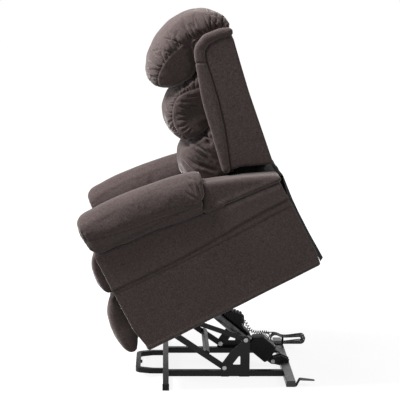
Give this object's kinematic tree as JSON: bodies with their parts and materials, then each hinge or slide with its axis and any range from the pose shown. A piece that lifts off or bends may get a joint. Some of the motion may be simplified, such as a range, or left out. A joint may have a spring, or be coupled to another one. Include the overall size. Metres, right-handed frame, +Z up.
{
  "type": "lift recliner chair",
  "caption": "Upholstered armchair on a steel lift base: the seat tilts forward to help a person stand, the back reclines and a legrest swings out.",
  "frame": {"origin": "on the floor, in the mid-plane, under the middle of the front cross tube of the base", "axes": "+X to the sitter's left, +Y to the rear, +Z up; the seat is in its raised, forward-tilted pose"},
  "size_m": [0.8708, 0.9762, 1.5091],
  "materials": {
    "taupe_fabric": "matte",
    "black_cloth": "matte",
    "black_steel": "satin",
    "bright_steel": "satin",
    "grey_tube": "satin",
    "black_plastic": "satin",
    "black_cable": "satin",
    "rubber": "matte",
    "wood": "matte"
  },
  "bodies": {
    "base": {"front_tube": "black_steel", "front_cap_left": "black_plastic", "front_cap_right": "black_plastic", "base_rail_left": "black_steel", "base_rail_right": "black_steel", "rear_tube": "black_steel", "front_loop": "black_steel", "loop_bumper": "rubber", "tower_left": "black_steel", "tower_right": "black_steel", "lift_bolt_left": "bright_steel", "lift_bolt_right": "bright_steel", "guide_bolt_left": "bright_steel", "guide_bolt_right": "bright_steel", "tail_bracket": "black_steel", "actuator_mount": "black_steel", "actuator_pin": "bright_steel", "cable_hank": "black_cable", "motor_cable": "black_cable", "tail_cable": "black_cable"},
    "lower_links": {"lift_link_left": "black_steel", "lift_link_right": "black_steel", "link_tube": "black_steel"},
    "guide_left": {"guide_link_left": "black_steel"},
    "guide_right": {"guide_link_right": "black_steel"},
    "actuator": {"actuator_motor": "black_plastic", "actuator_tube": "grey_tube", "control_box": "black_plastic", "curly_cord": "black_cable"},
    "piston": {"actuator_rod": "bright_steel"},
    "seat": {"carrier_left": "black_steel", "carrier_right": "black_steel", "seat_lift_bolt_left": "bright_steel", "seat_lift_bolt_right": "bright_steel", "seat_guide_bolt_left": "bright_steel", "seat_guide_bolt_right": "bright_steel", "carrier_tube": "black_steel", "seat_clevis": "black_steel", "seat_clevis_pin": "bright_steel", "side_panel_left": "taupe_fabric", "side_panel_right": "taupe_fabric", "arm_pad_left": "taupe_fabric", "arm_pad_right": "taupe_fabric", "arm_rear_left": "taupe_fabric", "arm_rear_right": "taupe_fabric", "seat_deck": "wood", "rear_rail": "wood", "seat_cushion": "taupe_fabric", "rear_flap": "black_cloth", "hinge_pin": "bright_steel"},
    "back": {"back_core": "taupe_fabric", "wing_left": "taupe_fabric", "wing_right": "taupe_fabric", "headrest": "taupe_fabric", "middle_pillow": "taupe_fabric", "lumbar_pillow": "taupe_fabric"},
    "legrest": {"upper_board": "wood", "upper_pad": "taupe_fabric"},
    "legrest_end": {"lower_board": "wood", "lower_pad": "taupe_fabric"}
  },
  "joints": [
    {"name": "lift", "type": "hinge", "parent": "base", "child": "lower_links", "pos_m": [0, 0.243, 0.0385], "axis": [1, 0, 0], "range_deg": [0, 25.5]},
    {"name": "seat_tilt", "type": "hinge", "parent": "lower_links", "child": "seat", "pos_m": [0, -0.02994, 0.22399], "axis": [1, 0, 0], "range_deg": [-53.2, 0]},
    {"name": "guide_left_swing", "type": "hinge", "parent": "base", "child": "guide_left", "pos_m": [0, 0.331, 0.157], "axis": [1, 0, 0], "range_deg": [0, 20]},
    {"name": "guide_right_swing", "type": "hinge", "parent": "base", "child": "guide_right", "pos_m": [0, 0.331, 0.157], "axis": [1, 0, 0], "range_deg": [0, 20]},
    {"name": "actuator_swing", "type": "hinge", "parent": "base", "child": "actuator", "pos_m": [0, 0.456, 0.027], "axis": [1, 0, 0], "range_deg": [0, 15.8]},
    {"name": "rod_stroke", "type": "slide", "parent": "actuator", "child": "piston", "axis": [0, -0.766, 0.6428], "range_m": [-0.108, 0]},
    {"name": "back_recline", "type": "hinge", "parent": "seat", "child": "back", "pos_m": [0, 0.39604, 0.78746], "axis": [-1, 0, 0], "range_deg": [0, 35]},
    {"name": "legrest_open", "type": "hinge", "parent": "seat", "child": "legrest", "pos_m": [0, -0.27134, 0.53312], "axis": [-1, 0, 0], "range_deg": [0, 75]},
    {"name": "legrest_fold", "type": "hinge", "parent": "legrest", "child": "legrest_end", "pos_m": [0, -0.22341, 0.35106], "axis": [-1, 0, 0], "range_deg": [0, 15.2]}
  ],
  "couplings": [
    {"joint": "seat_tilt", "follows": "lift", "ratio": -2.0822},
    {"joint": "guide_left_swing", "follows": "lift", "ratio": 0.7818},
    {"joint": "guide_right_swing", "follows": "lift", "ratio": 0.7818},
    {"joint": "actuator_swing", "follows": "lift", "ratio": 0.6141},
    {"joint": "rod_stroke", "follows": "lift", "m_per_rad": -0.2411},
    {"joint": "legrest_fold", "follows": "legrest_open", "ratio": 0.2}
  ]
}
